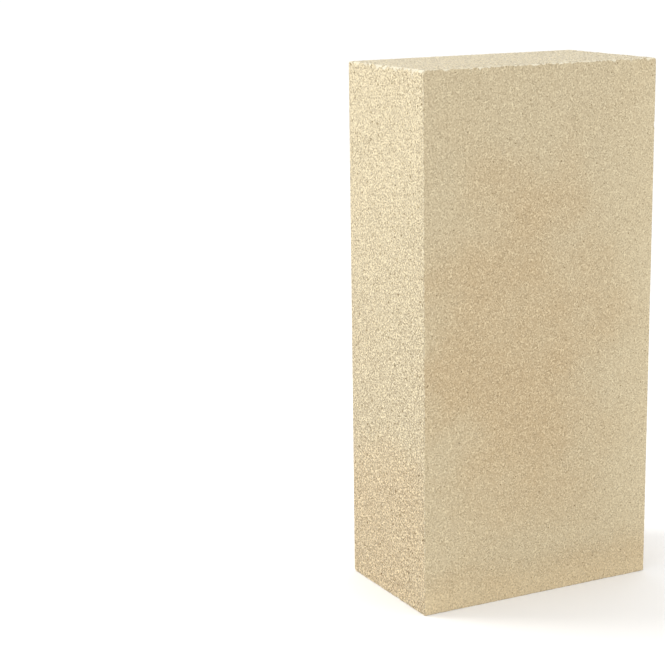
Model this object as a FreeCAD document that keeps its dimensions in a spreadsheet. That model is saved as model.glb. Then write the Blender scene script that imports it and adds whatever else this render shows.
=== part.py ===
"""Insulating firebrick: one block of porous fired clay, ground flat on all six sides.

Millimetres, +Z up. The brick stands on one of its ends, and the origin is the middle of
that end. X runs across its width, Y through its thickness and Z along its length.
"""

import FreeCAD, Part
import Sketcher

import os

OUT_FOLDER = "parts"
MM3_PER_LITRE = 1e6

# The driving dimensions in millimetres, each under the alias that names it in the sheet.
SHEET = "Sizes"
SIZES = {
    "brick_length": (230.0, "end to end, along Z"),
    "brick_width": (114.0, "side to side across the large faces, along X"),
    "brick_thickness": (64.0, "from one large face to the other, along Y"),
    "arris_radius": (0.5, "rounding along every edge where two ground faces meet"),
}

# How a sketch numbers the ends of a line, and its own origin.
START, END = 1, 2
ORIGIN_POINT = (-1, 1)


def make_sheet(document):
    """The spreadsheet of driving dimensions: meaning in column A, size in column B."""
    sheet = document.addObject("Spreadsheet::Sheet", SHEET)
    for row, (alias, (size, meaning)) in enumerate(SIZES.items(), start=1):
        sheet.set(f"A{row}", meaning)
        sheet.set(f"B{row}", str(size))
        sheet.setAlias(f"B{row}", alias)
    document.recompute()
    return sheet


def origin_plane(body, role):
    """One of a body's own origin planes, such as XY_Plane."""
    return next(plane for plane in body.Origin.OriginFeatures if plane.Role == role)


def tie(sketch, kind, line, alias, size):
    """Gives a line of a sketch a length that follows a cell of the sheet."""
    index = sketch.addConstraint(Sketcher.Constraint(kind, line, START, line, END, size))
    sketch.renameConstraint(index, alias)
    sketch.setExpression(f"Constraints.{alias}", f"{SHEET}.{alias}")


def draw_end(body, sheet):
    """The brick's end: a rectangle in the XY plane, centred on the long axis."""
    sketch = body.newObject("Sketcher::SketchObject", "end_outline")
    sketch.AttachmentSupport = (origin_plane(body, "XY_Plane"), [""])
    sketch.MapMode = "FlatFace"

    corners = [
        FreeCAD.Vector(x_side * sheet.brick_width / 2, y_side * sheet.brick_thickness / 2, 0)
        for x_side, y_side in ((-1, -1), (1, -1), (1, 1), (-1, 1))
    ]
    lines = [
        sketch.addGeometry(Part.LineSegment(corner, following), False)
        for corner, following in zip(corners, corners[1:] + corners[:1])
    ]
    for line, following in zip(lines, lines[1:] + lines[:1]):
        sketch.addConstraint(Sketcher.Constraint("Coincident", line, END, following, START))
    front, right, back, left = lines
    for line in (front, back):
        sketch.addConstraint(Sketcher.Constraint("Horizontal", line))
    for line in (right, left):
        sketch.addConstraint(Sketcher.Constraint("Vertical", line))
    sketch.addConstraint(
        Sketcher.Constraint("Symmetric", front, START, back, START, *ORIGIN_POINT)
    )
    tie(sketch, "DistanceX", front, "brick_width", sheet.brick_width)
    tie(sketch, "DistanceY", right, "brick_thickness", sheet.brick_thickness)
    return sketch


def make_brick(document, sheet):
    """The whole brick: its end drawn out to its length, then every arris rounded."""
    body = document.addObject("PartDesign::Body", "firebrick")
    body.Label = "firebrick"

    block = body.newObject("PartDesign::Pad", "block")
    block.Profile = draw_end(body, sheet)
    block.setExpression("Length", f"{SHEET}.brick_length")
    document.recompute()

    arrises = body.newObject("PartDesign::Fillet", "arrises")
    arrises.Base = (block, [""])
    arrises.UseAllEdges = True
    arrises.setExpression("Radius", f"{SHEET}.arris_radius")
    document.recompute()
    return body


def check(document):
    """Stops the build if any object of the document failed to compute."""
    failed = [item.Name for item in document.Objects if {"Invalid", "Error"} & set(item.State)]
    if failed:
        raise RuntimeError(f"these objects failed to compute: {failed}")


def export(piece):
    """Checks that a piece is one sound solid, and writes it to a STEP file under its label."""
    shape = piece.Shape
    if shape.isNull() or not shape.isValid() or len(shape.Solids) != 1:
        raise RuntimeError(f"{piece.Label} is not one valid solid")
    os.makedirs(OUT_FOLDER, exist_ok=True)
    shape.exportStep(os.path.join(OUT_FOLDER, f"{piece.Label}.step"))
    box = shape.BoundBox
    print(
        f"{piece.Label}: {box.XLength:.2f} x {box.YLength:.2f} x {box.ZLength:.2f} mm,"
        f" {shape.Volume / MM3_PER_LITRE:.4f} litres, {len(shape.Faces)} faces"
    )


def main():
    document = FreeCAD.newDocument("firebrick")
    sheet = make_sheet(document)
    brick = make_brick(document, sheet)
    check(document)
    export(brick)


main()
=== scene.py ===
"""Looks of the insulating firebrick: its open-pored skin, its fired-clay finish and a studio.

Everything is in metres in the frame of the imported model: X across the brick's width, Y through
its thickness, +Z up along its length, and the floor at the end that it stands on.
"""

import itertools
import math

import bpy
import numpy as np
from mathutils import Euler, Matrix, Vector, kdtree, noise
from mathutils.geometry import delaunay_2d_cdt


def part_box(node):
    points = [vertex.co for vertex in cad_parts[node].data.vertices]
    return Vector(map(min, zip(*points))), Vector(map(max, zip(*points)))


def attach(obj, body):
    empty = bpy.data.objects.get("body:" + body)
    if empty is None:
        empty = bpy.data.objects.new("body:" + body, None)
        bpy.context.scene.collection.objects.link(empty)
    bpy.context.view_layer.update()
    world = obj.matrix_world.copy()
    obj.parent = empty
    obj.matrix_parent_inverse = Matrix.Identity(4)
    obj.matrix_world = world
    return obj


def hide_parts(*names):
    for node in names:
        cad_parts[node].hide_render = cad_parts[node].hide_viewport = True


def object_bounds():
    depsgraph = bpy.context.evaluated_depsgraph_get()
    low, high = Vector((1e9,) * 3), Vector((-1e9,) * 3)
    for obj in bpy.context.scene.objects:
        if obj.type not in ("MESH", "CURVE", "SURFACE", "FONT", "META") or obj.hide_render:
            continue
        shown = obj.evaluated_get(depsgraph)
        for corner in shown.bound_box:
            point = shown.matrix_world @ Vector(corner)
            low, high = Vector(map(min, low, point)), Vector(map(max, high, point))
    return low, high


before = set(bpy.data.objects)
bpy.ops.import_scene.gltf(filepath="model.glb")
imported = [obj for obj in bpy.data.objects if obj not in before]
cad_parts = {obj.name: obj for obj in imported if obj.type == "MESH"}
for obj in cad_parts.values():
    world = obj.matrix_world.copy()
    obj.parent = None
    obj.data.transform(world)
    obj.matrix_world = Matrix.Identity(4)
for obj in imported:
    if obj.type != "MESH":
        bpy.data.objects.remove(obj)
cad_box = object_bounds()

MM = 0.001
X, Y, Z = range(3)
SEED = 230

NODE = "firebrick"
BODY = "root"
SLOT = "fired_clay"
SKIN = "firebrick_skin"
LAYOUT = "OFBake"

# The spacing of the points along the arrises, the insets of the rows of points beside them, and
# how far along its row a point may stray, as a share of the spacing.
ARRIS_SPACING = 0.7 * MM
ARRIS_ROWS = (0.25 * MM, 0.7 * MM, 1.5 * MM)
ARRIS_STRAY = 0.3

# The rounding of the arrises and how it varies along them.
ARRIS_RADIUS = 0.28 * MM
ARRIS_VARIES = 0.3
ARRIS_WAVE = 4 * MM

# Chips, which deepen the rounding. CHIPPED is for the arrises along X, Y and Z, and what it gives
# is cut to CHIPPED_BELOW of it around the lower end.
CHIP_DEPTH = 1.3 * MM
CHIP_WAVE = 2.4 * MM
CHIP_LEAST = 0.15
CHIP_ONSET = 0.05
CHIP_SLOPE = 3.0
CHIPPED = (0.25, 1.0, 0.03)
CHIPPED_BELOW = 0.4

# Small nicks in the arrises, where these are chipped, and the blunt corners.
NICKS = 110
NICK_REACH = (0.7 * MM, 1.8 * MM)
NICK_DEPTH = (0.1 * MM, 0.5 * MM)
CORNER_REACH = 1.6 * MM
CORNER_DEPTH = (0.0, 0.25 * MM)

# Pores, each with a ragged rim at the surface and a trough for its floor. Three numbers are for
# the narrow sides, the large faces and the ends. The depth is a share of the pore's radius.
PORE_GAP = (1.95 * MM, 4.6 * MM, 1.5 * MM)
PORE_MARGIN = 1.3 * MM
PORE_TRIES = 8
PORE_LEAST = (0.20 * MM, 0.20 * MM, 0.30 * MM)
PORE_MEAN = 0.12 * MM
PORE_MOST = (0.80 * MM, 0.45 * MM, 0.85 * MM)
PORE_STRETCH = 1.1
PORE_RIM = 6
PORE_STRAY = 0.25
PORE_RAGGED = 0.3
PORE_FLOOR = 0.45
PORE_DEPTH = (0.4, 0.9)

# How deep the rims of the pores and the points beside the arrises lie at most, on the same faces,
# the distance under which two points count as one, the angle from which an edge is drawn sharp,
# and the gap between the faces in their flat layout.
GRAIN_DEPTH = (0.03 * MM, 0.03 * MM, 0.20 * MM)
MERGED = 1e-6 * MM
CREASE = math.radians(32)
LAYOUT_GAP = 2 * MM

# How far the grit stands out on the narrow sides, the large faces and the ends, in colour and in
# bump. Its colour stands out more on the narrow sides and the ends as painted light: the contrast
# that the raking lamp gives their relief.
GRAINY = (0.93, 0.39, 0.73)

# The warm heart of the large faces, and the warm foot of the narrow sides and the large faces.
HEART_MIDDLE = (-12 * MM, 113 * MM)
HEART_REACH = (46 * MM, 62 * MM)
HEART_SOFT = 0.5
FOOT_TOP = (97 * MM, 22 * MM)
FOOT_FADE = (69 * MM, 17 * MM)

# How far the large faces are made paler at their foot, as painted light bounced from the floor,
# and at their side towards +X, and how far in the paling at that side reaches.
FOOT_PAINTED_BOUNCE = 0.68
SIDE_PALING = 0.55
SIDE_REACH = 60 * MM

# The pale band at the arrises, partly wear and partly a painted highlight: how far it reaches, in
# radii of their rounding, its strength and how ragged it is at those along X, Y and Z, and the
# share of it around the lower end.
PALE_EDGE_REACH = 1.8
WEAR_AND_HIGHLIGHT = (0.75, 1.2, 0.36)
RAGGED = (0.9, 1.0, 0.25)
PALE_EDGE_BELOW = 0.3

# The noises of the finish, each with its size and the octaves below that: the grit, the patches
# where it is stronger, the clouds of warmth and the crumbs of the pale arrises, partly wear and
# partly painted highlight. They are turned askew to keep clear of the axes.
GRIT = (0.68 * MM, 3)
PATCHES = (1.6 * MM, 1)
CLOUDS = (36 * MM, 2)
CRUMBS = (2 * MM, 2)
ASKEW = (0.6, 0.4, 0.9)

# The colours of the clay and its warm parts, and of the grains on both, PALE also for the painted
# light; of the hollows, and the painted shade in the pores; of the arrises, partly worn and partly
# a painted highlight; and of the painted sheen on the ends.
TAN = (0.553, 0.457, 0.297, 1)
WARM = (0.512, 0.392, 0.234, 1)
PALE = (0.920, 0.797, 0.530, 1)
PEACH = (0.945, 0.778, 0.498, 1)
UMBER = (0.260, 0.182, 0.092, 1)
CHALK = (0.930, 0.870, 0.690, 1)
PAINTED_SHEEN_GREY = (0.640, 0.620, 0.500, 1)

# The span of a noise or a layer over which each effect comes in, and how far it goes.
GRAIN_SPAN = (0.42, 0.65)
HOLLOW_SPAN = (0.52, 0.32)
HOLLOW_MOST = 0.68
PATCH_SPAN = (0.3, 0.7)
PATCH_SWAY = (-0.2, 0.2)
CLOUD_SPAN = (0.25, 0.75)
CLOUD_SWAY = (-0.35, 0.35)
WARM_SPAN = (0.0, 1.1)
PAINTED_LIGHT_SPAN = (0.2, 1.0)
PAINTED_LIGHT_MOST = 0.4
PAINTED_SHEEN_SPAN = (0.75, 1.0)
PAINTED_SHEEN_MOST = 0.4
CRUMB_SPAN = (0.3, 0.7)
CRUMB_SWAY = (-0.8, 0.4)
PALE_EDGE_SPAN = (0.3, 0.9)
PALE_EDGE_MOST = 0.8
PORE_SPAN = (0.0, 1.0)
PORE_SHADE = 0.7

# The height of the grit, its roughness from the hollows to the grains, and the clay's faint gloss.
GRIT_HEIGHT = 0.2 * MM
TONE_SPAN = (-1.0, 1.0)
ROUGHNESS = (0.98, 0.85)
SPECULAR = 0.25
SHEEN = 0.25
SHEEN_ROUGHNESS = 0.4

# The studio.
FLOOR_REACH = 30.0
FLOOR_WHITE = (0.95, 0.95, 0.95, 1)
FLOOR_ROUGHNESS = 0.9
ROOM_WHITE = (1, 1, 1, 1)
ROOM_LIGHT = 1.1
LAMP_PLACE = (-0.5, 0.35, 0.75)
LAMP_SIZE = 0.25
LAMP_POWER = 2.5
LAMP_COLOUR = (1.0, 0.98, 0.95)

# The camera, fitted to the edges of the brick in the photograph and then turned a little, so that
# the whole brick shows.
CAMERA_PLACE = (-411.4 * MM, -648.8 * MM, 285.0 * MM)
CAMERA_AZIMUTH = math.radians(-26.867)
CAMERA_ELEVATION = math.radians(12.763)
CAMERA_ROLL = math.radians(-0.838)
SENSOR = 36.0
LENS = 96.42


def stations(length, spacing, rng):
    """Uneven stations along a line, clear of both of its ends."""
    count = round(length / spacing) - 1
    even = np.arange(1, count + 1) * length / (count + 1)
    return even + rng.uniform(-ARRIS_STRAY, ARRIS_STRAY, count) * spacing


def corners_of(low, high):
    """The eight corners of a box."""
    return np.array(list(itertools.product(*zip(low, high))))


def arris_points(low, high, rng):
    """The corners of the sharp box, and points along its twelve arrises."""
    corners = corners_of(low, high)
    rows = [corners]
    for axis in (X, Y, Z):
        for corner in corners[corners[:, axis] == low[axis]]:
            along = stations(high[axis] - low[axis], ARRIS_SPACING, rng)
            row = np.tile(corner, (len(along), 1))
            row[:, axis] += along
            rows.append(row)
    return np.concatenate(rows)


def beside_arrises(width, height, rng):
    """Rows of points just inside the four arrises of one face."""
    rows = []
    for inset in ARRIS_ROWS:
        for across in (inset, height - inset):
            u = inset + stations(width - 2 * inset, ARRIS_SPACING, rng)
            rows.append(np.stack([u, np.full(len(u), across)], 1))
        for across in (inset, width - inset):
            v = inset + stations(height - 2 * inset, ARRIS_SPACING, rng)
            rows.append(np.stack([np.full(len(v), across), v], 1))
    return np.concatenate(rows)


def tree_of(points):
    """A search tree over points."""
    tree = kdtree.KDTree(len(points))
    for index, point in enumerate(points):
        tree.insert(point, index)
    tree.balance()
    return tree


def pore_centres(width, height, gap, rng):
    """Places for pores in one face, strewn at random but never closer than the gap."""
    span = np.array([width, height]) - 2 * PORE_MARGIN
    count = round(PORE_TRIES * span[0] * span[1] / gap**2)
    tries = PORE_MARGIN + rng.random((count, 2)) * span
    tree = tree_of(np.column_stack([tries, np.zeros(count)]))
    kept = np.zeros(count, bool)
    for index, (u, v) in enumerate(tries):
        kept[index] = not any(kept[other] for _, other, _ in tree.find_range((u, v, 0), gap))
    return tries[kept]


def pores(width, height, axis, rng):
    """Points of every pore in one face, how deep each is, and the painted shade on it: most in
    large pores.
    """
    centres = pore_centres(width, height, PORE_GAP[axis], rng)
    count = len(centres)
    radius = np.minimum(PORE_LEAST[axis] + rng.exponential(PORE_MEAN, count), PORE_MOST[axis])
    length = np.minimum(radius * (1 + PORE_STRETCH * rng.random(count) ** 2), PORE_MOST[axis])
    turn = rng.uniform(0, math.pi, count)
    way = np.stack([np.cos(turn), np.sin(turn)], 1)[:, None]
    side = np.stack([-np.sin(turn), np.cos(turn)], 1)[:, None]

    step = np.arange(PORE_RIM) + rng.uniform(-PORE_STRAY, PORE_STRAY, (count, PORE_RIM))
    angle = step * math.tau / PORE_RIM
    ragged = 1 + rng.uniform(-PORE_RAGGED, PORE_RAGGED, (count, PORE_RIM))
    along = (length[:, None] * np.cos(angle) * ragged)[..., None]
    aside = (radius[:, None] * np.sin(angle) * ragged)[..., None]
    rim = centres[:, None] + along * way + aside * side

    ends = PORE_FLOOR * length[:, None] * np.array([-1, 1])
    floor = centres[:, None] + ends[..., None] * way
    floor_depth = radius[:, None] * rng.uniform(*PORE_DEPTH, ends.shape)
    # Painted shade on each pore's floor, more in larger pores.
    floor_shade = np.broadcast_to(length[:, None] / PORE_MOST[axis], ends.shape)
    rim_depth = GRAIN_DEPTH[axis] * rng.random((count, PORE_RIM))

    points = np.concatenate([rim.reshape(-1, 2), floor.reshape(-1, 2)])
    depth = np.concatenate([rim_depth.ravel(), floor_depth.ravel()])
    painted_shade = np.concatenate([np.zeros(rim_depth.size), floor_shade.ravel()])
    return points, depth, painted_shade


def sharp_skin(low, high, rng):
    """The sharp box: its points, their depths and painted shade, its triangles and their sides.

    A side's number is twice its axis, and one more at the axis's high end.
    """
    points = arris_points(low, high, rng)
    arris_count = len(points)
    depths = [min(GRAIN_DEPTH) * rng.random(arris_count)]
    painted_shade = [np.zeros(arris_count)]
    triangles, sides = [], []
    for axis, end in itertools.product((X, Y, Z), (0, 1)):
        u, v = (axis + 1) % 3, (axis + 2) % 3
        level = (low, high)[end][axis]
        span = high[u] - low[u], high[v] - low[v]
        rows = beside_arrises(*span, rng)
        holes, hole_depths, hole_shade = pores(*span, axis, rng)
        depths += [GRAIN_DEPTH[axis] * rng.random(len(rows)), hole_depths]
        painted_shade += [np.zeros(len(rows)), hole_shade]

        flat = np.concatenate([rows, holes])
        inside = np.empty((len(flat), 3))
        inside[:, axis] = level
        inside[:, (u, v)] = np.array([low[u], low[v]]) + flat
        ring = np.flatnonzero(points[:arris_count, axis] == level)
        members = np.concatenate([ring, len(points) + np.arange(len(inside))])
        points = np.concatenate([points, inside])

        spread = points[members][:, (u, v)] / MM
        found = delaunay_2d_cdt(spread.tolist(), [], [], 0, MERGED / MM)[2]
        found = members[np.array(found)]
        triangles.append(found if end else found[:, ::-1])
        sides.append(np.full(len(found), 2 * axis + end))
    return points, *(np.concatenate(parts) for parts in (depths, painted_shade, triangles, sides))


def waves(points, size):
    """Smooth noise of about -1 to 1 at each point, whose swells are about this size."""
    return np.array([noise.noise(Vector(point)) for point in points / size])


def by_arris(shares, below, points, low, high):
    """Each point's share: by the axis of the arris nearest to it, and less at the lower end."""
    along = np.argmax(np.minimum(points - low, high - points), axis=1)
    lower = (along != Z) & (points[:, Z] < (low[Z] + high[Z]) / 2)
    return np.array(shares)[along] * np.where(lower, below, 1.0)


def arris_rounding(points, low, high, rng):
    """The rounding at each point: it varies along the arrises and swells at chips and nicks."""
    radius = ARRIS_RADIUS * (1 + ARRIS_VARIES * waves(points, ARRIS_WAVE))
    chipped = by_arris(CHIPPED, CHIPPED_BELOW, points, low, high)
    chips = np.clip((waves(points, CHIP_WAVE) - CHIP_ONSET) * CHIP_SLOPE, CHIP_LEAST, 1)
    radius += CHIP_DEPTH * chipped * chips

    arris = np.flatnonzero(np.sum((points == low) | (points == high), axis=1) > 1)
    chance = chipped[arris] / chipped[arris].sum()
    nicks = points[rng.choice(arris, NICKS, replace=False, p=chance)]
    bites = [(place, rng.uniform(*NICK_REACH), rng.uniform(*NICK_DEPTH)) for place in nicks]
    corners = corners_of(low, high)
    bites += [(place, CORNER_REACH, rng.uniform(*CORNER_DEPTH)) for place in corners]
    tree = tree_of(points)
    for place, reach, depth in bites:
        found = tree.find_range(place, reach)
        which = [index for _, index, _ in found]
        share = np.array([distance for _, _, distance in found]) / reach
        radius[which] += depth * (1 - share**2)
    return radius


def round_off(points, low, high, radius):
    """The points moved onto the rounded box, and the way out of the brick at each."""
    core = np.clip(points, low + radius[:, None], high - radius[:, None])
    outward = points - core
    outward /= np.linalg.norm(outward, axis=1, keepdims=True)
    return core + outward * radius[:, None], outward


def bake_layout(points, triangles, sides, low, high):
    """A flat map for every corner of every triangle: the upright faces in a row, the ends above."""
    size = high - low
    at = {}
    across = LAYOUT_GAP
    for axis, end in itertools.product((Y, X), (0, 1)):
        at[2 * axis + end] = (across, LAYOUT_GAP)
        across += size[X + Y - axis] + LAYOUT_GAP
    for end in (0, 1):
        along = LAYOUT_GAP + end * (size[X] + LAYOUT_GAP)
        at[2 * Z + end] = (along, 2 * LAYOUT_GAP + size[Z])
    places = np.empty((len(triangles), 3, 2))
    for side, corner in at.items():
        u, v = ((Y, Z), (X, Z), (X, Y))[side // 2]
        mine = sides == side
        flat = points[triangles[mine]]
        places[mine, :, 0] = corner[0] + flat[..., u] - low[u]
        places[mine, :, 1] = corner[1] + flat[..., v] - low[v]
    return places / across


def finish_layers(points, outward, radius, low, high):
    """What the finish follows at each point of the skin."""
    from_arris = np.sort(np.minimum(points - low, high - points), axis=1)[:, 1]
    height = points[:, Z] - low[Z]
    faces = outward**2

    off_heart = np.hypot(
        (points[:, X] - HEART_MIDDLE[0]) / HEART_REACH[0],
        (height - HEART_MIDDLE[1]) / HEART_REACH[1],
    )
    heart = faces[:, Y] * np.clip(1 + HEART_SOFT - off_heart, 0, 1)
    side_foot, face_foot = (
        faces[:, axis] * np.clip((FOOT_TOP[axis] - height) / FOOT_FADE[axis], 0, 1)
        for axis in (X, Y)
    )
    # The narrow sides grow paler towards the top: painted light from the high lamp.
    painted_top_light = faces[:, X] * height / (high[Z] - low[Z])
    face_side = faces[:, Y] * np.clip(1 - (high[X] - points[:, X]) / SIDE_REACH, 0, 1)
    # The pale arrises: partly wear, partly a painted highlight, strongest on the upper arrises.
    edge_wear_and_light = by_arris(WEAR_AND_HIGHLIGHT, PALE_EDGE_BELOW, points, low, high)
    return {
        "wear_and_highlight": (PALE_EDGE_REACH - from_arris / radius) * edge_wear_and_light,
        "ragged": by_arris(RAGGED, 1.0, points, low, high),
        "heart": heart + side_foot + face_foot,
        # Painted sheen: the ends get a paler grey, standing for the room's light reflected at a
        # grazing view.
        "painted_sheen": np.abs(outward[:, Z]),
        "grainy": faces @ np.array(GRAINY),
        "painted_light": painted_top_light + np.maximum(FOOT_PAINTED_BOUNCE * face_foot, SIDE_PALING * face_side),
    }


def porous_brick():
    """The brick's visible skin: the box with worn arrises and an open-pored surface."""
    rng = np.random.default_rng(SEED)
    low, high = (np.array(corner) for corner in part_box(NODE))
    sharp, depth, painted_shade, triangles, sides = sharp_skin(low, high, rng)
    radius = arris_rounding(sharp, low, high, rng)
    rounded, outward = round_off(sharp, low, high, radius)
    points = rounded - outward * depth[:, None]

    mesh = bpy.data.meshes.new(SKIN)
    mesh.from_pydata(points.tolist(), [], triangles.tolist())
    mesh.shade_smooth()
    mesh.set_sharp_from_angle(angle=CREASE)
    layout = mesh.uv_layers.new(name=LAYOUT)
    layout.uv.foreach_set("vector", bake_layout(sharp, triangles, sides, low, high).ravel())

    layers = finish_layers(sharp, outward, radius, low, high)
    # Painted shade on the pore floors.
    layers["pore"] = painted_shade
    for name, values in layers.items():
        layer = mesh.attributes.new(name, "FLOAT", "POINT")
        layer.data.foreach_set("value", np.clip(values, 0, 1))

    piece = bpy.data.objects.new(SKIN, mesh)
    bpy.context.scene.collection.objects.link(piece)
    mesh.materials.append(fired_clay())
    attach(piece, BODY)
    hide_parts(NODE)


class Nodes:
    """A material's node tree, with one short call to add a node and wire it up."""

    def __init__(self, name):
        self.material = bpy.data.materials.new(name)
        self.material.use_nodes = True
        self.tree = self.material.node_tree
        self.shader = self.tree.nodes["Principled BSDF"]

    def add(self, kind, inputs=None, **settings):
        """A new node with its settings, and values or links for its inputs."""
        node = self.tree.nodes.new(kind)
        for name, value in settings.items():
            setattr(node, name, value)
        for name, value in (inputs or {}).items():
            self.set(node.inputs[name], value)
        return node

    def set(self, socket, value):
        """Links a socket to another, or gives it a value of its own."""
        if isinstance(value, bpy.types.NodeSocket):
            self.tree.links.new(value, socket)
        else:
            socket.default_value = value

    def ramp(self, value, span, reach=(0.0, 1.0)):
        """A value moved smoothly from a span to a reach, and held at the ends of it."""
        inputs = {"Value": value, "From Min": span[0], "From Max": span[1]}
        inputs |= {"To Min": reach[0], "To Max": reach[1]}
        node = self.add("ShaderNodeMapRange", inputs, interpolation_type="SMOOTHSTEP")
        return node.outputs["Result"]

    def mix(self, share, first, second):
        """A share of the second colour in the first."""
        node = self.add("ShaderNodeMix", data_type="RGBA")
        for name, value in (("Factor_Float", share), ("A_Color", first), ("B_Color", second)):
            socket = next(socket for socket in node.inputs if socket.identifier == name)
            self.set(socket, value)
        return next(socket for socket in node.outputs if socket.identifier == "Result_Color")

    def math(self, operation, first, second):
        """The outcome of one operation on two values."""
        node = self.add("ShaderNodeMath", operation=operation)
        self.set(node.inputs[0], first)
        self.set(node.inputs[1], second)
        return node.outputs[0]

    def layer(self, name, span=None, most=1.0):
        """A layer of the mesh, ramped from nothing to a most where it has a span."""
        value = self.add("ShaderNodeAttribute", attribute_name=name).outputs["Fac"]
        return self.ramp(value, span, (0.0, most)) if span else value


def fired_clay():
    """Pale fired clay: a warm heart in clouds of tan, sandy grit, painted shade in the pores, pale
    arrises that are partly worn and partly a painted highlight, and painted light and sheen.
    """
    nodes = Nodes(SLOT)
    place = nodes.add("ShaderNodeTexCoord").outputs["Object"]
    askew = nodes.add("ShaderNodeMapping", {"Vector": place, "Rotation": ASKEW}).outputs["Vector"]

    def mottling(size, octaves):
        """A noise all through the clay."""
        inputs = {"Vector": askew, "Scale": 1 / size, "Detail": octaves}
        return nodes.add("ShaderNodeTexNoise", inputs).outputs["Fac"]

    grit = mottling(*GRIT)
    grains = nodes.ramp(grit, GRAIN_SPAN)
    hollows = nodes.ramp(grit, HOLLOW_SPAN, (0.0, HOLLOW_MOST))
    tone = nodes.math("SUBTRACT", grains, hollows)
    patchy = nodes.ramp(mottling(*PATCHES), PATCH_SPAN, PATCH_SWAY)
    grainy = nodes.math("ADD", nodes.layer("grainy"), patchy)

    sway = nodes.ramp(mottling(*CLOUDS), CLOUD_SPAN, CLOUD_SWAY)
    warmth = nodes.ramp(nodes.math("ADD", nodes.layer("heart"), sway), WARM_SPAN)
    colour = nodes.mix(warmth, TAN, WARM)
    # Painted light: PALE over the top of the narrow sides and the foot of the large faces; also
    # paler towards the large faces' +X side.
    colour = nodes.mix(nodes.layer("painted_light", PAINTED_LIGHT_SPAN, PAINTED_LIGHT_MOST), colour, PALE)
    # Painted sheen on both ends: greyer and paler.
    colour = nodes.mix(nodes.layer("painted_sheen", PAINTED_SHEEN_SPAN, PAINTED_SHEEN_MOST), colour, PAINTED_SHEEN_GREY)
    grain_colour = nodes.mix(warmth, PALE, PEACH)
    # Grains and hollows, stronger where grainy is: partly the grit's own colour, partly painted
    # light from the raking lamp.
    colour = nodes.mix(nodes.math("MULTIPLY", grains, grainy), colour, grain_colour)
    colour = nodes.mix(nodes.math("MULTIPLY", hollows, grainy), colour, UMBER)
    sway = nodes.ramp(mottling(*CRUMBS), CRUMB_SPAN, CRUMB_SWAY)
    sway = nodes.math("MULTIPLY", sway, nodes.layer("ragged"))
    crumbly = nodes.math("ADD", nodes.layer("wear_and_highlight"), sway)
    # CHALK along the arrises: partly wear, partly a painted highlight.
    colour = nodes.mix(nodes.ramp(crumbly, PALE_EDGE_SPAN, (0.0, PALE_EDGE_MOST)), colour, CHALK)
    # Painted shade: UMBER on the pore floors, most in large pores.
    colour = nodes.mix(nodes.layer("pore", PORE_SPAN, PORE_SHADE), colour, UMBER)

    height = nodes.math("MULTIPLY", tone, grainy)
    bump = nodes.add("ShaderNodeBump", {"Height": height, "Strength": 1.0, "Distance": GRIT_HEIGHT})
    shader = nodes.shader.inputs
    nodes.set(shader["Base Color"], colour)
    nodes.set(shader["Normal"], bump.outputs["Normal"])
    nodes.set(shader["Roughness"], nodes.ramp(tone, TONE_SPAN, ROUGHNESS))
    nodes.set(shader["Specular IOR Level"], SPECULAR)
    nodes.set(shader["Sheen Weight"], SHEEN)
    nodes.set(shader["Sheen Roughness"], SHEEN_ROUGHNESS)
    return nodes.material


def studio():
    """A pale floor that runs out of sight, and a white room."""
    ends = (-FLOOR_REACH, FLOOR_REACH)
    mesh = bpy.data.meshes.new("floor")
    mesh.from_pydata([(x, y, 0) for x in ends for y in ends], [], [(0, 2, 3, 1)])
    floor = bpy.data.objects.new("floor", mesh)
    bpy.context.scene.collection.objects.link(floor)
    paint = Nodes("floor_paint")
    paint.set(paint.shader.inputs["Base Color"], FLOOR_WHITE)
    paint.set(paint.shader.inputs["Roughness"], FLOOR_ROUGHNESS)
    mesh.materials.append(paint.material)

    world = bpy.data.worlds.new("room")
    world.use_nodes = True
    background = world.node_tree.nodes["Background"]
    background.inputs["Color"].default_value = ROOM_WHITE
    background.inputs["Strength"].default_value = ROOM_LIGHT
    bpy.context.scene.world = world
    bpy.context.scene.view_settings.view_transform = "Standard"


def lamp():
    """A soft square lamp that points at the middle of the brick."""
    data = bpy.data.lights.new("key", "AREA")
    data.size = LAMP_SIZE
    data.energy = LAMP_POWER
    data.color = LAMP_COLOUR
    light = bpy.data.objects.new("key", data)
    light.location = LAMP_PLACE
    middle = (Vector(cad_box[0]) + Vector(cad_box[1])) / 2
    light.rotation_euler = (middle - light.location).to_track_quat("-Z", "Y").to_euler()
    bpy.context.scene.collection.objects.link(light)


def camera():
    """The photograph's point of view."""
    data = bpy.data.cameras.new("camera")
    data.sensor_width = SENSOR
    data.lens = LENS
    eye = bpy.data.objects.new("camera", data)
    eye.location = CAMERA_PLACE
    level = Euler((math.pi / 2 - CAMERA_ELEVATION, 0, CAMERA_AZIMUTH)).to_matrix()
    eye.rotation_euler = (level @ Euler((0, 0, CAMERA_ROLL)).to_matrix()).to_euler()
    bpy.context.scene.collection.objects.link(eye)
    bpy.context.scene.camera = eye


porous_brick()
studio()
lamp()
camera()

bpy.context.view_layer.update()
